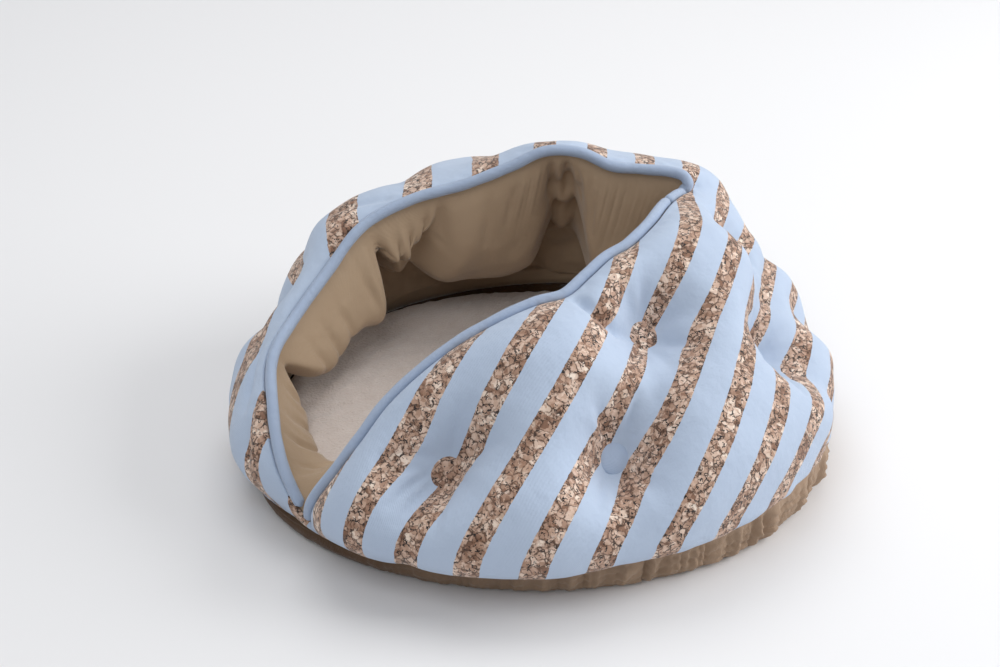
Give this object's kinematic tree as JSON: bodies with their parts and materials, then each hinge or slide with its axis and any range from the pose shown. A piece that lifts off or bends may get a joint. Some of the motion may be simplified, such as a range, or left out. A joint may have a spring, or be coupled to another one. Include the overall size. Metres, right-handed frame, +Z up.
{
  "type": "enclosed dog bed",
  "caption": "Padded dome bed for a small dog: tufted striped cover, quilted lining, piped leaf-shaped mouth, filled round base and a plush mat inside.",
  "frame": {"origin": "centre of the base's flat underside, on the surface the bed stands on", "axes": "+Z up; the mouth opens towards -Y, with its lower corner at the front edge; +X is the side of the straighter right lip"},
  "size_m": [0.4929, 0.4959, 0.2186],
  "materials": {
    "cover_print": "smooth printed cotton, pale blue with diagonal stripes of cork print",
    "lining_khaki": "fine twill with a soft satin sheen",
    "piping_blue": "plain weave bias cloth over a cord",
    "base_brown": "plain brown cloth, gathered at its edge",
    "mat_plush": "short beige plush",
    "button_blue": "plain weave over a button shell",
    "button_print": "cork print over a button shell"
  },
  "bodies": {
    "root": {"cover": "cover_print", "lining": "lining_khaki", "piping_right": "piping_blue", "piping_left": "piping_blue", "base": "base_brown", "mat": "mat_plush", "button_front_right": "button_print", "button_right": "button_blue", "button_back_right": "button_blue", "button_back": "button_blue", "button_back_left": "button_blue", "button_left": "button_print", "button_front_left": "button_blue", "button_upper_right": "button_print", "button_upper_back": "button_print"}
  },
  "joints": []
}
